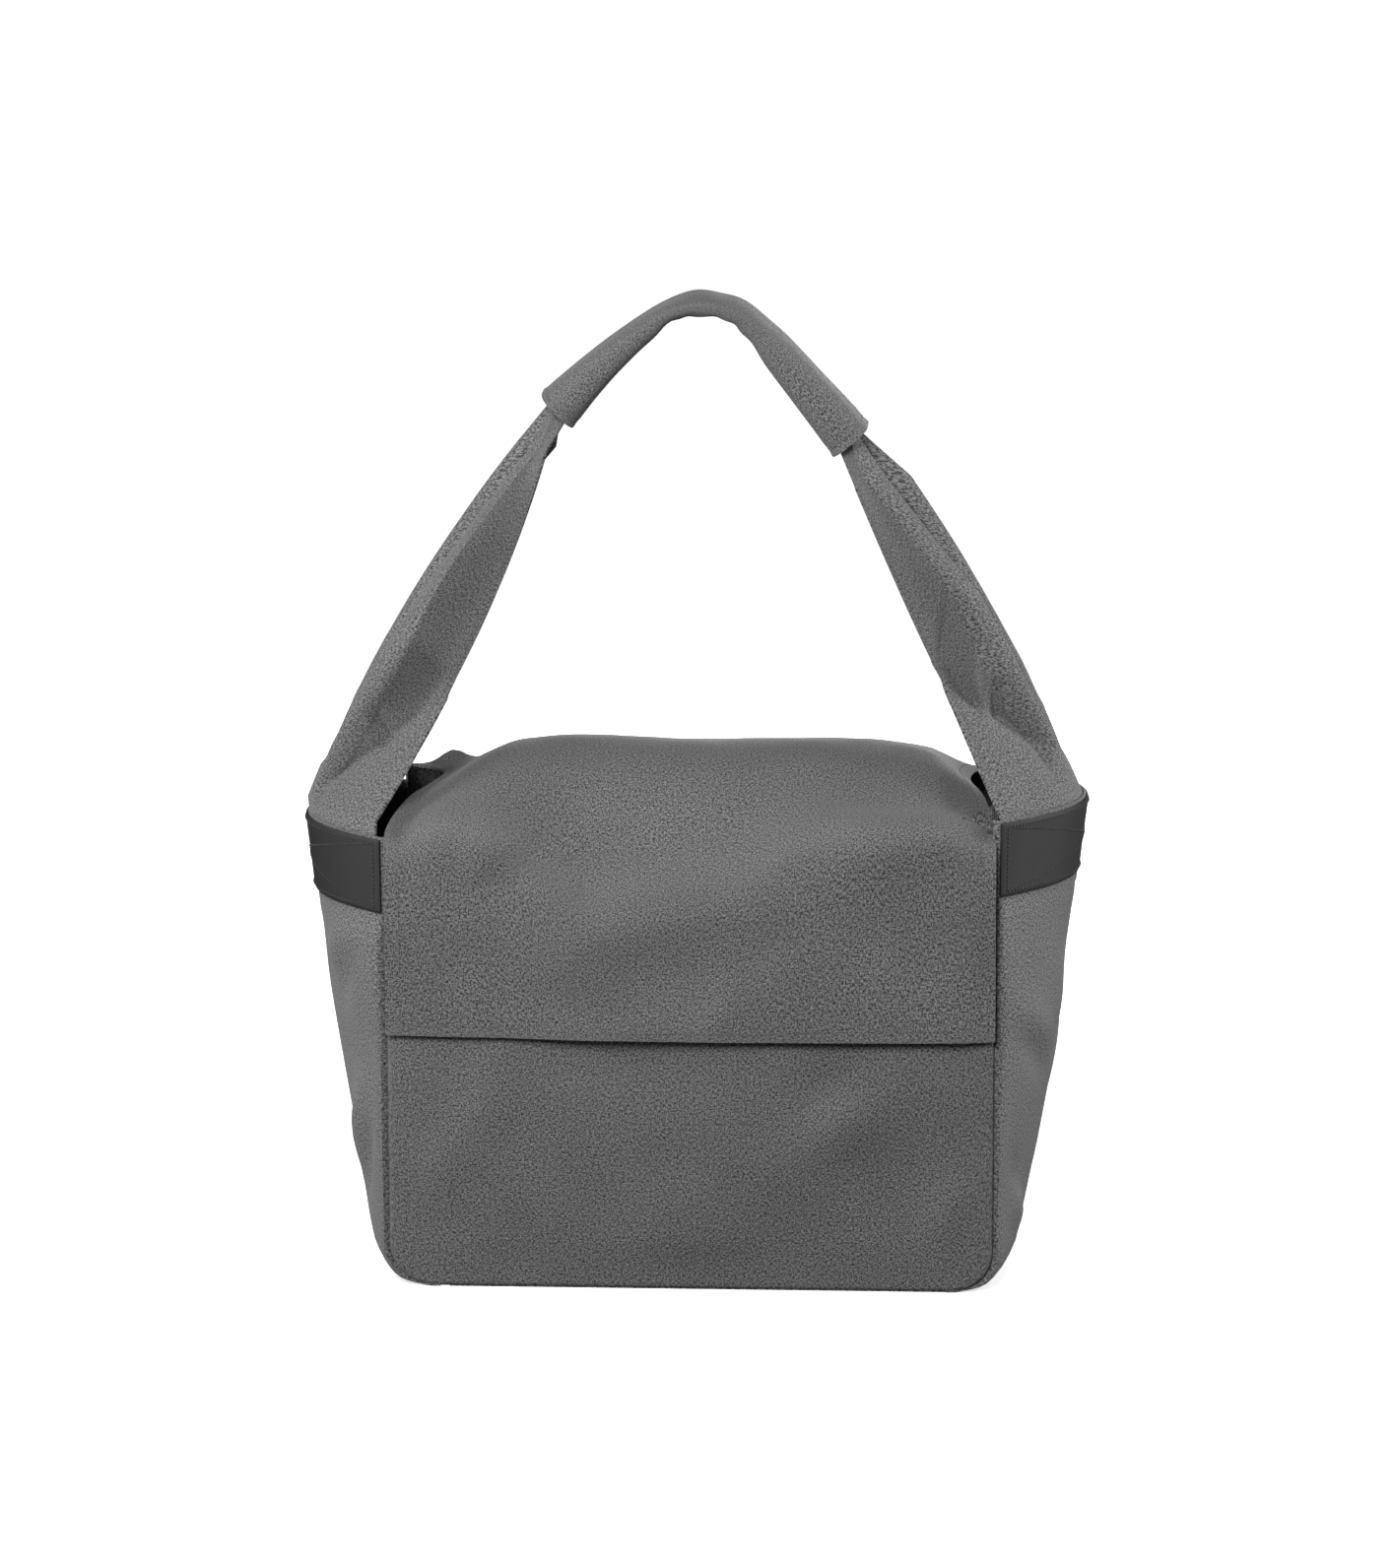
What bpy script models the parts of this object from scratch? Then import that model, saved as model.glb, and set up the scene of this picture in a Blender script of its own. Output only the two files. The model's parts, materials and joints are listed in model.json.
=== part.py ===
"""Shoulder mail bag: canvas body with a bulging gusset, a fold-over flap in two runs, leather bands and a
wide folded strap that ends in a padded-looking loose sleeve.

Metres, +Z up, the front faces -Y and the bag stands on its base at z = 0. Lengths below are in
millimetres times MM. Shapes are written in the bag's own frame, whose y = 0 is the middle of its depth.
"""
import math

import bmesh
import bpy
from mathutils import Vector

MM = 0.001

# Body of the bag
HALF_WIDTH = 200 * MM
HEIGHT = 315 * MM
CORNER_RADIUS = 36 * MM
BASE_HALF_DEPTH = 75 * MM
MOUTH_HALF_DEPTH = 92 * MM
GUSSET_BULGE = 60 * MM
BULGE_POWER = 0.65
BASE_SEAM_X = 160 * MM
GUSSET_STEPS = 16
CENTRE_Y = 2.75 * MM

# Layers, outside to inside
GAP = 0.4 * MM
CANVAS = 1.5 * MM
LINING = 0.8 * MM
LINING_DEPTH = 6 * MM
LINING_TOP = 285 * MM
SIDE_LINING_TOP = 300 * MM
LINING_INSET = 2.5 * MM
LINING_MARGIN = 2.2 * MM
BOARD = 3 * MM

# Leather bands
BAND = 1.8 * MM
BAND_BOTTOM = 262 * MM
BAND_TOP = 312 * MM
BAND_MARGIN = 0.8 * MM

# Flap: a crowned top run from the rear seam, then a hanging run in front of the bag
FLAP_HINGE = Vector((0, 95 * MM, 316.5 * MM))
FLAP_FOLD = Vector((0, -96 * MM, 318.5 * MM))
FLAP_BASE_Z = 318.5 * MM
FLAP_REAR_Y = 93 * MM
FLAP_RUN = 187 * MM
FLAP_CROWN = 32.5 * MM
CROWN_AT = 0.53
FLAP_FRONT_Y = -99 * MM
HEM_Z = 172 * MM
HEM_Y = -96.5 * MM

# Strap: base, middle and top values of its outer fold, its inner edges and its half depth
STRAP = 2 * MM
STRAP_RISE = 255 * MM
STRAP_OUTER = (256.5 * MM, 195 * MM, 105 * MM)
STRAP_INNER = (201 * MM, 138.5 * MM, 86 * MM)
STRAP_HALF_DEPTH = (88 * MM, 44 * MM, 8 * MM)
STRAP_SWAY = 6 * MM
ROOT_BOTTOM = 265 * MM
ROOT_CLEARANCE = 3.5 * MM
ROOT_HALF_DEPTH = 60 * MM
STRAP_PIVOT = Vector((0, 0, 395 * MM))
KNEE_RADIUS = 60 * MM
KNEE_GAP = 1.5 * MM
KNEE_TURN = math.radians(45)
LEFT_LEG_TOP = 548 * MM
RIGHT_LEG_TOP = 530 * MM

# Crest of the strap, in the plane y = 0, from the sleeve's left end to its right end
CREST = [(-93, 573), (-54, 609), (-16, 637), (7, 643), (31, 635), (57, 608), (104, 554)]
CREST_MIDDLE = 3
CREST_STEP = 0.25
CREST_GAP = 0.01
STRAP_AT_END = (8 * MM, 10 * MM)
STRAP_AT_APEX = (4.4 * MM, 12 * MM)
SLEEVE_AT_END = (14.5 * MM, 20 * MM)
SLEEVE_AT_APEX = (8 * MM, 22 * MM)
SLEEVE_WALL = 1.3 * MM


def clear_scene():
    for obj in list(bpy.data.objects):
        bpy.data.objects.remove(obj)


def finish(name, colour, roughness):
    """A Principled material."""
    made = bpy.data.materials.new(name)
    made.use_nodes = True
    shader = made.node_tree.nodes["Principled BSDF"]
    shader.inputs["Base Color"].default_value = (*colour, 1)
    shader.inputs["Roughness"].default_value = roughness
    shader.inputs["Metallic"].default_value = 0
    return made


def joint_empty(name, place, parent=None):
    """An empty on a joint's axis; place is in the bag's frame."""
    empty = bpy.data.objects.new(name, None)
    bpy.context.collection.objects.link(empty)
    empty.location = place
    if parent:
        empty.parent = parent[0]
        empty.location = place - parent[1]
    return empty, place


def piece(name, points, faces, material, frame):
    """A named object from points in the bag's frame, with its origin on its frame's empty."""
    empty, origin = frame
    mesh = bpy.data.meshes.new(name)
    mesh.from_pydata([Vector(p) - origin for p in points], [], faces)
    shape = bmesh.new()
    shape.from_mesh(mesh)
    bmesh.ops.recalc_face_normals(shape, faces=shape.faces)
    shape.to_mesh(mesh)
    shape.free()
    mesh.shade_smooth()
    mesh.set_sharp_from_angle(angle=math.radians(40))
    mesh.materials.append(material)
    made = bpy.data.objects.new(name, mesh)
    bpy.context.collection.objects.link(made)
    made.parent = empty
    return made


def walled(name, outer, inner, material, frame, loops=False):
    """A solid between two grids of points with the same rows and columns; loops closes each row on itself."""
    rows, columns = len(outer), len(outer[0])
    points = [p for row in outer for p in row] + [p for row in inner for p in row]
    lift = rows * columns
    spans = columns if loops else columns - 1
    faces = []

    def at(row, column, side):
        return side * lift + row * columns + column % columns

    for i in range(rows - 1):
        for j in range(spans):
            for side in (0, 1):
                quad = [at(i, j, side), at(i, j + 1, side), at(i + 1, j + 1, side), at(i + 1, j, side)]
                faces.append(quad)
    for i in (0, rows - 1):
        for j in range(spans):
            faces.append([at(i, j, 0), at(i, j + 1, 0), at(i, j + 1, 1), at(i, j, 1)])
    if not loops:
        for j in (0, columns - 1):
            for i in range(rows - 1):
                faces.append([at(i, j, 0), at(i + 1, j, 0), at(i + 1, j, 1), at(i, j, 1)])
    return piece(name, points, faces, material, frame)


def plate(name, outline, front, back, material, frame):
    """A flat plate: an outline of (x, z) between two depths given as functions of z."""
    count = len(outline)
    points = [(x, front(z), z) for x, z in outline] + [(x, back(z), z) for x, z in outline]
    faces = [list(range(count)), list(range(count, 2 * count))]
    faces += [[i, (i + 1) % count, count + (i + 1) % count, count + i] for i in range(count)]
    return piece(name, points, faces, material, frame)


def slab(name, half_x, half_y, low, high, material, frame):
    """A flat piece of the base."""
    corners = [(-half_x, low), (half_x, low), (half_x, high), (-half_x, high)]
    return plate(name, corners, lambda z: -half_y, lambda z: half_y, material, frame)


def shell(name, surface, us, vs, near, far, material, frame):
    """A curved cloth piece between two offsets of a surface, counted along its outward normal."""
    step = 1e-3

    def moved(u, v, offset):
        along_u = surface(u + step, v) - surface(u - step, v)
        along_v = surface(u, v + step) - surface(u, v - step)
        return surface(u, v) + along_u.cross(along_v).normalized() * offset

    outer, inner = ([[moved(u, v, offset) for v in vs] for u in us] for offset in (near, far))
    return walled(name, outer, inner, material, frame)


def spread(first, last, steps):
    return [first + (last - first) * i / steps for i in range(steps + 1)]


def half_depth(z):
    """Half the bag's depth at a height, where the panels are sewn to the gusset."""
    return BASE_HALF_DEPTH + (MOUTH_HALF_DEPTH - BASE_HALF_DEPTH) * z / HEIGHT


def bulge(z):
    """How far the middle of the gusset stands out past the panels' edges."""
    return GUSSET_BULGE * max(z / HEIGHT, 0) ** BULGE_POWER


def panel_outline(inset, top):
    """Half-round cornered outline of a panel, (x, z) anticlockwise from its top left corner."""
    radius = CORNER_RADIUS - inset
    right, low = HALF_WIDTH - inset - radius, inset + radius
    turn = spread(0, math.pi / 2, 8)
    left_corner = [(-right - radius * math.cos(a), low - radius * math.sin(a)) for a in turn]
    right_corner = [(right + radius * math.sin(a), low - radius * math.cos(a)) for a in turn]
    return [(-right - radius, top), *left_corner, *right_corner, (right + radius, top)]


def add_panels(looks, frame):
    """Front and rear panels, their linings and the canvas facings inside the mouth."""
    for name, side in (("front", -1), ("rear", 1)):

        def depth(inward, side=side):
            return lambda z: side * (half_depth(z) - inward)

        plate(f"{name}_panel", panel_outline(0, HEIGHT), depth(-CANVAS), depth(0), looks["canvas"], frame)
        inner = GAP + LINING
        outline = panel_outline(LINING_INSET, LINING_TOP)
        plate(f"{name}_lining", outline, depth(GAP), depth(inner), looks["lining"], frame)
        edge = HALF_WIDTH - LINING_INSET
        low, high = LINING_TOP + GAP, HEIGHT - GAP
        outline = [(-edge, low), (edge, low), (edge, high), (-edge, high)]
        plate(f"{name}_facing", outline, depth(GAP), depth(GAP + CANVAS), looks["canvas"], frame)


def gusset_surface(side):
    """The gusset's outer face: u in metres down from the rim and under the base, v across from -1 to 1."""
    straight = HEIGHT - CORNER_RADIUS
    corner = CORNER_RADIUS * math.pi / 2

    def surface(u, v):
        if u < straight:
            x, z = HALF_WIDTH, HEIGHT - u
        elif u < straight + corner:
            angle = (u - straight) / CORNER_RADIUS
            x = HALF_WIDTH - CORNER_RADIUS * (1 - math.cos(angle))
            z = CORNER_RADIUS * (1 - math.sin(angle))
        else:
            x, z = HALF_WIDTH - CORNER_RADIUS - (u - straight - corner), 0
        x += bulge(z) * (1 - v * v)
        return Vector((side * x, side * v * (half_depth(z) - GAP), z))

    return surface


def add_gussets(looks, frame):
    """Side gussets that run under the base, the base between them, the board on it and all their linings."""
    straight = HEIGHT - CORNER_RADIUS
    corner = CORNER_RADIUS * math.pi / 2
    seam = straight + corner + HALF_WIDTH - CORNER_RADIUS - BASE_SEAM_X
    lining_edge = 1 - LINING_MARGIN / MOUTH_HALF_DEPTH
    band_edge = 1 - BAND_MARGIN / MOUTH_HALF_DEPTH
    down = spread(0, straight, 8) + spread(straight, straight + corner, 6)[1:] + [seam - GAP / 2]
    lined = [HEIGHT - SIDE_LINING_TOP] + [u for u in down if u > HEIGHT - SIDE_LINING_TOP]
    banded = spread(HEIGHT - BAND_TOP, HEIGHT - BAND_BOTTOM, 3)
    for name, side in (("left", -1), ("right", 1)):
        cloth = gusset_surface(side)
        across = spread(-1, 1, GUSSET_STEPS)
        shell(f"{name}_gusset", cloth, down, across, 0, -CANVAS, looks["canvas"], frame)
        across = spread(-lining_edge, lining_edge, GUSSET_STEPS)
        inside = -LINING_DEPTH - LINING
        shell(f"{name}_lining", cloth, lined, across, -LINING_DEPTH, inside, looks["lining"], frame)
        across = spread(-band_edge, band_edge, GUSSET_STEPS)
        shell(f"{name}_band", cloth, banded, across, GAP + BAND, GAP, looks["leather"], frame)
    half_x = BASE_SEAM_X - GAP / 2
    slab("base_gusset", half_x, BASE_HALF_DEPTH - GAP, 0, CANVAS, looks["canvas"], frame)
    half_y = BASE_HALF_DEPTH - GAP * 2 - LINING - GAP
    board_z = CANVAS + GAP
    slab("base_board", half_x, half_y, board_z, board_z + BOARD, looks["board"], frame)
    slab("base_lining", half_x, half_y, LINING_DEPTH, LINING_DEPTH + LINING, looks["lining"], frame)


def flap_top_surface(u, v):
    """The crowned run of the flap: u from the rear seam to the front fold, v across from -1 to 1."""
    if u < CROWN_AT:
        lift = math.sin(math.pi / 2 * u / CROWN_AT)
    else:
        past = min((u - CROWN_AT) / (1 - CROWN_AT), 1)
        lift = math.sqrt(1 - past ** 3)
    crown = math.sqrt(max(1 - abs(v) ** 5, 0))
    return Vector((v * HALF_WIDTH, FLAP_REAR_Y - u * FLAP_RUN, FLAP_BASE_Z + FLAP_CROWN * lift * crown))


def stacked(name, rows, drop, thickness, material, frame):
    """A sheet piece whose two faces are the same rows, moved by two steps of one vector function."""
    outer = [[p + drop(p) for p in row] for row in rows]
    inner = [[p + drop(p) + Vector(thickness) for p in row] for row in rows]
    return walled(name, outer, inner, material, frame)


def add_flap(looks, top_frame, drop_frame):
    """The two runs of the flap, each a canvas sheet with a lining under it."""
    us = spread(0, CROWN_AT, 5) + spread(CROWN_AT, 1, 7)[1:]
    vs = [-math.cos(a) for a in spread(0, math.pi, 16)]
    rows = [[flap_top_surface(u, v) for v in vs] for u in us]
    centre = Vector((0, 0, FLAP_BASE_Z))

    def tucked(amount):
        """Moves a point down, and the last rows inwards, so that the layers stay parallel."""
        return lambda p: Vector((0, amount * 1.2 * (p.y < centre.y - FLAP_RUN * 0.48), -amount))

    layer = CANVAS + GAP
    canvas, lining = looks["canvas"], looks["lining"]
    stacked("flap_top", rows, tucked(0), (0, 0, -CANVAS), canvas, top_frame)
    stacked("flap_top_lining", rows, tucked(layer), (0, 0, -LINING), lining, top_frame)

    heights = spread(FLAP_BASE_Z - GAP * 2, HEM_Z, 6)
    rows = []
    for z in heights:
        share = (FLAP_BASE_Z - z) / (FLAP_BASE_Z - HEM_Z)
        y = FLAP_FRONT_Y + (HEM_Y - FLAP_FRONT_Y) * share
        rows.append([Vector((x, y, z)) for x in (-HALF_WIDTH, HALF_WIDTH)])
    stacked("flap_drop", rows, lambda p: Vector((0, 0, 0)), (0, CANVAS, 0), canvas, drop_frame)
    stacked("flap_drop_lining", rows, lambda p: Vector((0, layer, 0)), (0, LINING, 0), lining, drop_frame)


def three_point(values, share):
    """The smooth curve through a base, a middle and a top value."""
    base, middle, top = values
    bend = 2 * (base + top - 2 * middle)
    return base + (top - base - bend) * share + bend * share * share


def strap_shape(z):
    """Outer fold, inner edge and half depth of the strap at a height, below and above the rim."""
    if z < HEIGHT:
        outer = HALF_WIDTH + bulge(z) - ROOT_CLEARANCE
        return outer, STRAP_INNER[0], half_depth(z) - 4 * MM
    share = (z - HEIGHT) / STRAP_RISE
    return tuple(three_point(values, share) for values in (STRAP_OUTER, STRAP_INNER, STRAP_HALF_DEPTH))


def strap_points(side, z, y):
    """The outer and inner face of the folded strap at a height and a depth."""
    outer, inner, depth = strap_shape(z)
    sway = STRAP_SWAY * (max(z - HEIGHT, 0) / STRAP_RISE) ** 2
    fold = (y / depth) ** 2
    faces = []
    for thickness in (0, STRAP):
        x = outer - thickness - (outer - thickness - inner) * fold
        faces.append(Vector((side * x + sway, y * (1 - thickness / depth), z)))
    return faces


def knee_height(y):
    """Top edge of the fixed root: hollow about the strap's pivot, then level to the outside."""
    radius = KNEE_RADIUS + KNEE_GAP
    reach = min(abs(y), radius * math.sin(KNEE_TURN))
    return STRAP_PIVOT.z - math.sqrt(radius ** 2 - reach ** 2)


def add_strap_roots(looks, frame):
    """The sewn-in ends of the strap, between the gussets and their linings."""
    for name, side in (("left", -1), ("right", 1)):
        outer, inner = [], []
        for share in spread(0, 1, 6):
            faces = []
            for y in spread(-ROOT_HALF_DEPTH, ROOT_HALF_DEPTH, 16):
                z = ROOT_BOTTOM + (knee_height(y) - ROOT_BOTTOM) * share
                faces.append(strap_points(side, z, y))
            outer.append([face[0] for face in faces])
            inner.append([face[1] for face in faces])
        walled(f"{name}_strap_root", outer, inner, looks["canvas"], frame)


def crest_point(place):
    """A point of the strap's crest and the direction out of it, by a Catmull-Rom curve through CREST."""
    first = min(int(place), len(CREST) - 2)
    t = place - first
    near = [Vector((*CREST[min(max(first + i, 0), len(CREST) - 1)], 0)) * MM for i in (-1, 0, 1, 2)]
    a, b, c, d = near
    point = b + (c - a) * t / 2 + (a * 2 - b * 5 + c * 4 - d) * t ** 2 / 2 + (b * 3 - a - c * 3 + d) * t ** 3 / 2
    along = (c - a) / 2 + (a * 2 - b * 5 + c * 4 - d) * t + (b * 3 - a - c * 3 + d) * t ** 2 * 3 / 2
    along.normalize()
    return Vector((point.x, 0, point.y)), Vector((-along.y, 0, along.x))


def crest_size(place, at_end, at_apex):
    """Half width in the crest's plane and half depth, from an end to the apex."""
    share = 1 - abs(place - CREST_MIDDLE) / CREST_MIDDLE
    share = share * share * (3 - 2 * share)
    return [end + (apex - end) * share for end, apex in zip(at_end, at_apex)]


def crest_section(place, vs):
    """Outer and inner face of the folded strap inside the sleeve."""
    centre, out = crest_point(place)
    width, depth = crest_size(place, STRAP_AT_END, STRAP_AT_APEX)
    outer, inner = [], []
    for v in vs:
        for face, thickness in ((outer, 0), (inner, STRAP)):
            reach = width - thickness - (2 * width - thickness) * v * v
            face.append(centre + out * reach + Vector((0, v * (depth - thickness), 0)))
    return outer, inner


def leg_heights(top):
    """Heights of a moving leg's level rows, close together in its round lower end."""
    pivot = STRAP_PIVOT.z
    low = [pivot - KNEE_RADIUS * math.cos(a) for a in spread(math.radians(8), math.radians(80), 6)]
    return low + spread(pivot, top, 8)


def add_strap(looks, frame):
    """The two moving legs of the strap, which meet inside the sleeve."""
    vs = spread(-1, 1, 12)
    last = len(CREST) - 1
    ways = (("left", -1, LEFT_LEG_TOP, 0, CREST_MIDDLE - CREST_GAP),
            ("right", 1, RIGHT_LEG_TOP, last, CREST_MIDDLE + CREST_GAP))
    for name, side, top, start, end in ways:
        outer, inner = [], []
        for z in leg_heights(top):
            depth = strap_shape(z)[2]
            if z < STRAP_PIVOT.z + GAP:
                depth = min(depth, math.sqrt(max(KNEE_RADIUS ** 2 - (z - STRAP_PIVOT.z) ** 2, 0)))
            faces = [strap_points(side, z, v * depth) for v in vs]
            outer.append([face[0] for face in faces])
            inner.append([face[1] for face in faces])
        steps = round(abs(end - start) / CREST_STEP)
        for place in spread(start, end, steps):
            section = crest_section(place, vs)
            outer.append(section[0])
            inner.append(section[1])
        walled(f"{name}_strap", outer, inner, looks["canvas"], frame)


def add_sleeve(looks, frame):
    """The loose canvas tube over the strap's crest, open at both ends."""
    outer, inner = [], []
    last = len(CREST) - 1
    for place in spread(0, last, round(last / CREST_STEP)):
        centre, out = crest_point(place)
        width, depth = crest_size(place, SLEEVE_AT_END, SLEEVE_AT_APEX)
        for rows, wall in ((outer, 0), (inner, SLEEVE_WALL)):
            row = []
            for k in range(16):
                angle = 2 * math.pi * k / 16
                across = Vector((0, (depth - wall) * math.sin(angle), 0))
                row.append(centre + out * (width - wall) * math.cos(angle) + across)
            rows.append(row)
    walled("shoulder_sleeve", outer, inner, looks["canvas"], frame, loops=True)


def main():
    clear_scene()
    looks = {
        "canvas": finish("grey_canvas", (0.12, 0.12, 0.12), 0.9),
        "lining": finish("dark_lining", (0.045, 0.045, 0.045), 0.8),
        "leather": finish("black_leather", (0.035, 0.035, 0.035), 0.55),
        "board": finish("fibre_board", (0.2, 0.17, 0.13), 0.85),
    }
    bag = joint_empty("bag_frame", Vector((0, 0, 0)))
    bag[0].location.y = CENTRE_Y
    flap_top = joint_empty("flap_open_axis", FLAP_HINGE, bag)
    flap_drop = joint_empty("flap_fold_axis", FLAP_FOLD, flap_top)
    strap = joint_empty("strap_swing_axis", STRAP_PIVOT, bag)
    add_panels(looks, bag)
    add_gussets(looks, bag)
    add_strap_roots(looks, bag)
    add_flap(looks, flap_top, flap_drop)
    add_strap(looks, strap)
    add_sleeve(looks, strap)


main()
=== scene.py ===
import json
import math

import bmesh
import bpy
from bpy.props import FloatProperty, FloatVectorProperty, IntProperty, PointerProperty
from mathutils import Matrix, Vector, noise


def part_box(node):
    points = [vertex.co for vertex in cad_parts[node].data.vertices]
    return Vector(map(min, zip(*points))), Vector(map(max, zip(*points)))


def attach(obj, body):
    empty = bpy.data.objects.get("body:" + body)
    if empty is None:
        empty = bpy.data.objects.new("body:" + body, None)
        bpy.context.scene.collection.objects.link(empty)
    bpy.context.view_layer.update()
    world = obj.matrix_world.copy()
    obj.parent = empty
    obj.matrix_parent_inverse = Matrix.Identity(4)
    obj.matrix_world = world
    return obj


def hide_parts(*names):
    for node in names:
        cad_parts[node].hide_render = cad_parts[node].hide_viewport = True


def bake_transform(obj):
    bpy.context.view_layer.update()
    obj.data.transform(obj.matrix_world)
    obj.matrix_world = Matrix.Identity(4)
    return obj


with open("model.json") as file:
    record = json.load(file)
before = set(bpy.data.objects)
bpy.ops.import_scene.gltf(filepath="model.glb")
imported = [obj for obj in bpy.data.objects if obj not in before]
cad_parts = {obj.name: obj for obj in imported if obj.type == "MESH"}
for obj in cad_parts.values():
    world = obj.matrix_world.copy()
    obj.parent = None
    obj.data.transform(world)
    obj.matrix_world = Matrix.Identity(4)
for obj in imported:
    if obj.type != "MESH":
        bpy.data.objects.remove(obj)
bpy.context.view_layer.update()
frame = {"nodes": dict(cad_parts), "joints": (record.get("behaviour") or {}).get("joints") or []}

bl_info = {
    "name": "Canvas mail bag",
    "version": (1, 0, 0),
    "blender": (4, 5, 0),
    "location": "View3D > Sidebar > Mail bag",
    "description": "Builds a canvas mail bag with a fold-over flap, leather bands and a folded shoulder strap",
    "category": "Add Mesh",
}

MM = 0.001
SIDES = {"left": -1, "right": 1}


# ---------------------------------------------------------------- numbers and curves

def linear(code):
    """The linear colour of an sRGB hex code."""
    values = [int(code[i:i + 2], 16) / 255 for i in (1, 3, 5)]
    return [v / 12.92 if v <= 0.04045 else ((v + 0.055) / 1.055) ** 2.4 for v in values]


def clamp(value, low=0.0, high=1.0):
    return max(low, min(high, value))


def ease(value, low=0.0, high=1.0):
    """0 below low, 1 above high and smooth between them."""
    t = clamp((value - low) / (high - low))
    return t * t * (3 - 2 * t)


def bell(value, centre, width):
    return math.exp(-((value - centre) / width) ** 2)


def spread(first, last, steps):
    return [first + (last - first) * i / steps for i in range(steps + 1)]


def edged(first, last, steps, edges=(0.3, 0.8, 1.5, 2.5, 4, 6)):
    """Even stations with more of them, given in millimetres, close to both ends."""
    sign = 1 if last > first else -1
    near = [first + sign * e * MM for e in edges]
    far = [last - sign * e * MM for e in reversed(edges)]
    start, end = near[-1] + sign * 2 * MM, far[0] - sign * 2 * MM
    return [first, *near, *spread(start, end, steps), *far, last]


def through(points, place):
    """A point on the smooth curve through some points, at a place counted in points."""
    last = len(points) - 1
    first = min(int(max(place, 0)), last - 1)
    t = place - first
    a, b, c, d = (Vector(points[min(max(first + i, 0), last)]) for i in (-1, 0, 1, 2))
    return b + (c - a) * t / 2 + (a * 2 - b * 5 + c * 4 - d) * t ** 2 / 2 + (b * 3 - a - c * 3 + d) * t ** 3 / 2


def three_point(values, share):
    """The smooth curve through a base, a middle and a top value."""
    base, middle, top = values
    bend = 2 * (base + top - 2 * middle)
    return base + (top - base - bend) * share + bend * share * share


def crease(x, z, start, end, width, height):
    """Height at a point of one soft fold that runs along a line and fades towards its ends."""
    ax, az, bx, bz = *start, *end
    run = Vector((bx - ax, bz - az))
    t = clamp(((x - ax) * run.x + (z - az) * run.y) / run.length_squared)
    away = math.hypot(x - ax - run.x * t, z - az - run.y * t)
    return height * math.exp(-(away / width) ** 2) * (0.25 + 0.75 * math.sin(math.pi * t))


def creases(x, z, folds):
    return sum(crease(x, z, *fold) for fold in folds)


def in_metres(folds, width):
    """Folds whose places across are shares, with those turned into metres by the cloth's half width."""
    return [((start[0] * width, start[1]), (end[0] * width, end[1]), *rest) for start, end, *rest in folds]


def joint_place(name):
    return next(joint for joint in frame["joints"] if joint["name"] == name)["pos_m"]


def unrest(x, y, z, size, height, seed=0.0):
    """A gentle, repeatable unevenness of cloth."""
    return height * noise.noise(Vector((x / size + seed, y / size, z / size - seed)))


# ---------------------------------------------------------------- settings

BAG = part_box("front_panel")
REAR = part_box("rear_panel")
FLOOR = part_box("base_gusset")
MIDDLE_Y = (FLOOR[0].y + FLOOR[1].y) / 2


def distance_setting(name, description, default):
    return FloatProperty(name=name, description=description, default=default, unit="LENGTH")


def colour_setting(name, description, code):
    return FloatVectorProperty(name=name, description=description, subtype="COLOR", default=linear(code))


class MailBagSizes(bpy.types.PropertyGroup):
    """Sizes of the bag, taken from the frame where it has them"""
    half_width: distance_setting("Half width", "Half the width of the front panel", BAG[1].x)
    height: distance_setting("Height", "Height of the panels", BAG[1].z)
    corner: distance_setting("Left corner", "Radius of the panels' lower left corners", 30 * MM)
    right_corner: distance_setting("Right corner", "Radius of the panels' lower right corners", 28 * MM)
    base_depth: distance_setting("Base half depth", "Half the depth of the base", (FLOOR[1].y - FLOOR[0].y) / 2)
    mouth_depth: distance_setting("Mouth half depth", "Half the depth of the mouth",
                                  REAR[1].y - MIDDLE_Y - 1.5 * MM)
    bulge: distance_setting("Gusset bulge", "How far the gussets stand out at the mouth",
                            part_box("right_gusset")[1].x - BAG[1].x)
    tilt: distance_setting("Rim tilt", "How much the right rim is higher than the middle", 7.8 * MM)
    canvas: distance_setting("Canvas", "Thickness of the canvas", 1.5 * MM)
    lining: distance_setting("Lining", "Thickness of the lining", 0.8 * MM)
    leather: distance_setting("Leather", "Thickness of the bands", 1.8 * MM)
    band: distance_setting("Band width", "Width of the leather bands", 50 * MM)
    stitch: distance_setting("Stitch", "Distance from one stitch to the next", 3.2 * MM)
    detail: IntProperty(name="Detail", description="Size of a mesh step on the large panels, in millimetres",
                        default=4, min=2, max=12)


class MailBagColours(bpy.types.PropertyGroup):
    """Colours of the bag"""
    canvas: colour_setting("Canvas", "Grey of the canvas", "#585858")
    lining: colour_setting("Lining", "Dark grey of the lining", "#464646")
    leather: colour_setting("Leather", "Black of the leather", "#1f1f1f")
    floor: colour_setting("Floor", "White of the studio floor", "#f4f4f4")


def sizes():
    return bpy.context.scene.mail_bag_sizes


def colours():
    return bpy.context.scene.mail_bag_colours


# ---------------------------------------------------------------- materials

def add(tree, kind, links=(), **settings):
    """Adds a node with its settings, and links (input, node, output) into it."""
    made = tree.nodes.new(kind)
    for name, value in settings.items():
        if name in made.inputs:
            made.inputs[name].default_value = value
        else:
            setattr(made, name, value)
    for name, source, output in links:
        tree.links.new(source.outputs[output], made.inputs[name])
    return made


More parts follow.
